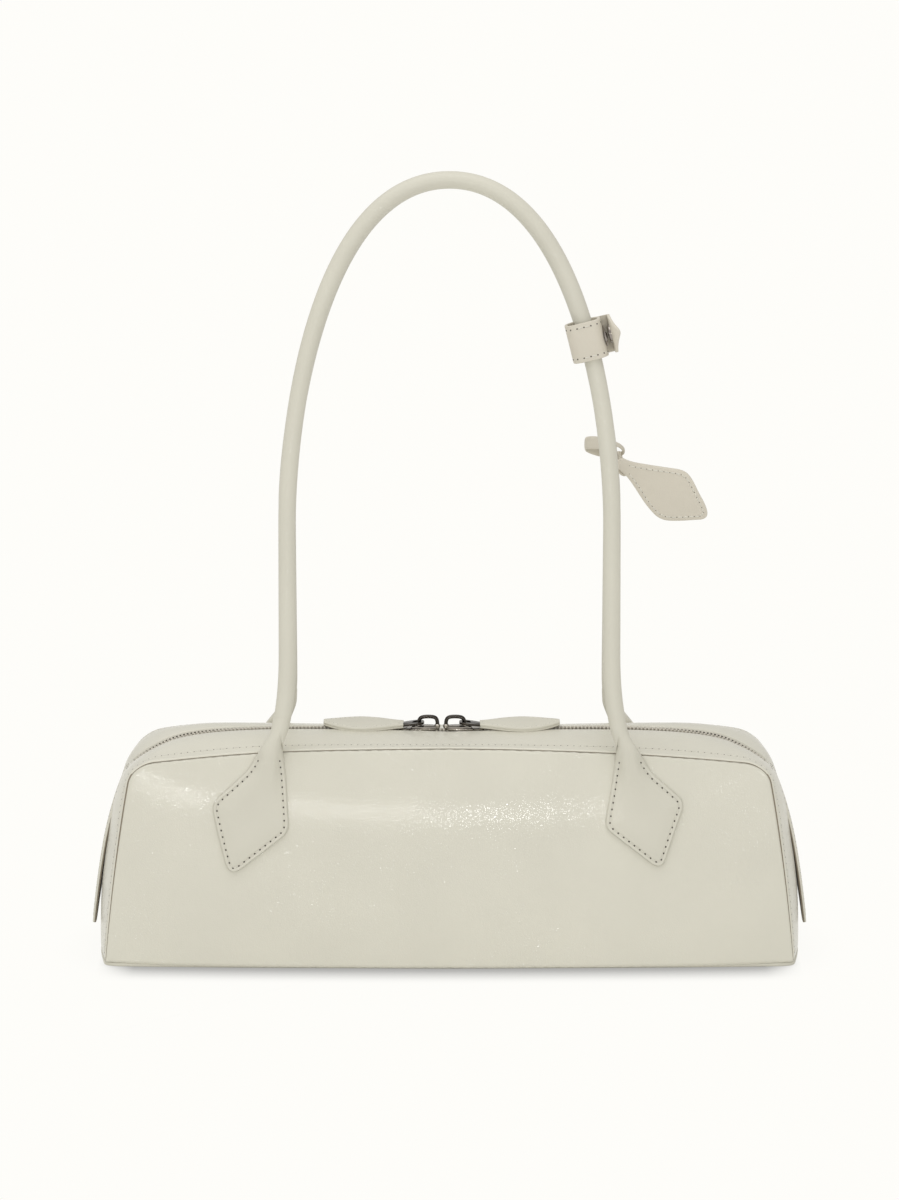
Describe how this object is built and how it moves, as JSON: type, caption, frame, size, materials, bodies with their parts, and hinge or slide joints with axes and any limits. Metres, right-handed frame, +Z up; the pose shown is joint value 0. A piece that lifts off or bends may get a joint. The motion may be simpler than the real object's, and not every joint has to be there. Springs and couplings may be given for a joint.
{
  "type": "baguette bag",
  "caption": "Small long shoulder bag of leather with a curved zipped top, rolled arch handles on diamond patches, leather zip pullers, a snap keeper and a hanging leaf tag.",
  "frame": {"origin": "on the floor under the middle of the base", "axes": "+X along the bag to the viewer's right, -Y towards the front wall with the keeper's handle, +Z up"},
  "size_m": [0.3684, 0.095, 0.4001],
  "materials": {
    "outer_leather": "satin, fine grain",
    "base_leather": "satin",
    "lining_leather": "matt split side",
    "zip_tape": "woven",
    "zip_teeth": "satin",
    "dark_nickel": "polished dark nickel",
    "bright_nickel": "polished",
    "rope": "twisted cotton",
    "lining_cloth": "woven cotton",
    "board": "pressed fibre"
  },
  "bodies": {
    "base": {"base_panel": "base_leather", "gusset_left": "outer_leather", "gusset_right": "outer_leather", "zip_stops": "dark_nickel", "lining_base": "lining_cloth", "lining_end_left": "lining_cloth", "lining_end_right": "lining_cloth", "base_board": "board"},
    "front_wall": {"front_panel": "outer_leather", "top_strip_front": "outer_leather", "zip_tape_front": "zip_tape", "zip_teeth_front": "zip_teeth", "patch_front_left": "outer_leather", "patch_front_right": "outer_leather", "lining_front": "lining_cloth"},
    "rear_wall": {"rear_panel": "outer_leather", "top_strip_rear": "outer_leather", "zip_tape_rear": "zip_tape", "zip_teeth_rear": "zip_teeth", "patch_rear_left": "outer_leather", "patch_rear_right": "outer_leather", "lining_rear": "lining_cloth", "inner_pocket": "lining_cloth"},
    "front_handle": {"handle_front": "outer_leather", "handle_core_front": "rope"},
    "rear_handle": {"handle_rear": "outer_leather", "handle_core_rear": "rope"},
    "keeper": {"keeper_band": "outer_leather", "snap_stud": "bright_nickel"},
    "keeper_flap": {"keeper_flap": "lining_leather", "snap_socket": "bright_nickel"},
    "tag": {"tag_strap": "outer_leather", "tag_leaf": "outer_leather"},
    "left_slider": {"slider_left": "dark_nickel"},
    "right_slider": {"slider_right": "dark_nickel"},
    "left_puller": {"pull_link_left": "dark_nickel", "puller_left": "outer_leather"},
    "right_puller": {"pull_link_right": "dark_nickel", "puller_right": "outer_leather"},
    "left_tab": {"end_tab_left": "outer_leather"},
    "right_tab": {"end_tab_right": "outer_leather"}
  },
  "joints": [
    {"name": "front_wall_lean", "type": "hinge", "parent": "base", "child": "front_wall", "pos_m": [0, -0.0475, 0.0025], "axis": [1, 0, 0], "range_deg": [0, 12], "deforming": ["zip_tape_front", "zip_teeth_front"]},
    {"name": "rear_wall_lean", "type": "hinge", "parent": "base", "child": "rear_wall", "pos_m": [0, 0.0475, 0.0025], "axis": [-1, 0, 0], "range_deg": [0, 12], "deforming": ["zip_tape_rear", "zip_teeth_rear"]},
    {"name": "left_slider_run", "type": "slide", "parent": "base", "child": "left_slider", "axis": [-1, 0, 0], "range_m": [0, 0.0987]},
    {"name": "right_slider_run", "type": "slide", "parent": "base", "child": "right_slider", "axis": [1, 0, 0], "range_m": [0, 0.1068]},
    {"name": "left_puller_lift", "type": "hinge", "parent": "left_slider", "child": "left_puller", "pos_m": [-0.01363, 0, 0.11752], "axis": [0, 1, 0], "range_deg": [0, 100]},
    {"name": "right_puller_lift", "type": "hinge", "parent": "right_slider", "child": "right_puller", "pos_m": [0.00563, 0, 0.11752], "axis": [0, -1, 0], "range_deg": [0, 100]},
    {"name": "front_handle_swing", "type": "hinge", "parent": "front_wall", "child": "front_handle", "pos_m": [0, -0.04108, 0.104], "axis": [1, 0, 0], "range_deg": [0, 100]},
    {"name": "rear_handle_swing", "type": "hinge", "parent": "rear_wall", "child": "rear_handle", "pos_m": [0, 0.04108, 0.104], "axis": [-1, 0, 0], "range_deg": [0, 100]},
    {"name": "keeper_slide", "type": "slide", "parent": "front_handle", "child": "keeper", "axis": [-0.2419, 0.1126, 0.9637], "range_m": [-0.012, 0.012]},
    {"name": "keeper_flap_turn", "type": "hinge", "parent": "keeper", "child": "keeper_flap", "pos_m": [0.08177, -0.00989, 0.31931], "axis": [-0.2419, 0.1126, 0.9637], "range_deg": [0, 105]},
    {"name": "tag_swing", "type": "hinge", "parent": "rear_handle", "child": "tag", "pos_m": [0.08125, 0.02337, 0.25492], "axis": [0, 0.9932, 0.1165], "range_deg": [-30, 30]},
    {"name": "left_tab_lift", "type": "hinge", "parent": "base", "child": "left_tab", "pos_m": [-0.16439, 0, 0.09307], "axis": [0, 1, 0], "range_deg": [0, 60]},
    {"name": "right_tab_lift", "type": "hinge", "parent": "base", "child": "right_tab", "pos_m": [0.16439, 0, 0.09307], "axis": [0, -1, 0], "range_deg": [0, 60]}
  ],
  "couplings": [
    {"joint": "rear_wall_lean", "follows": "front_wall_lean", "ratio": 1},
    {"joint": "left_slider_run", "follows": "front_wall_lean", "m_per_rad": 0.4712},
    {"joint": "right_slider_run", "follows": "front_wall_lean", "m_per_rad": 0.5098}
  ]
}
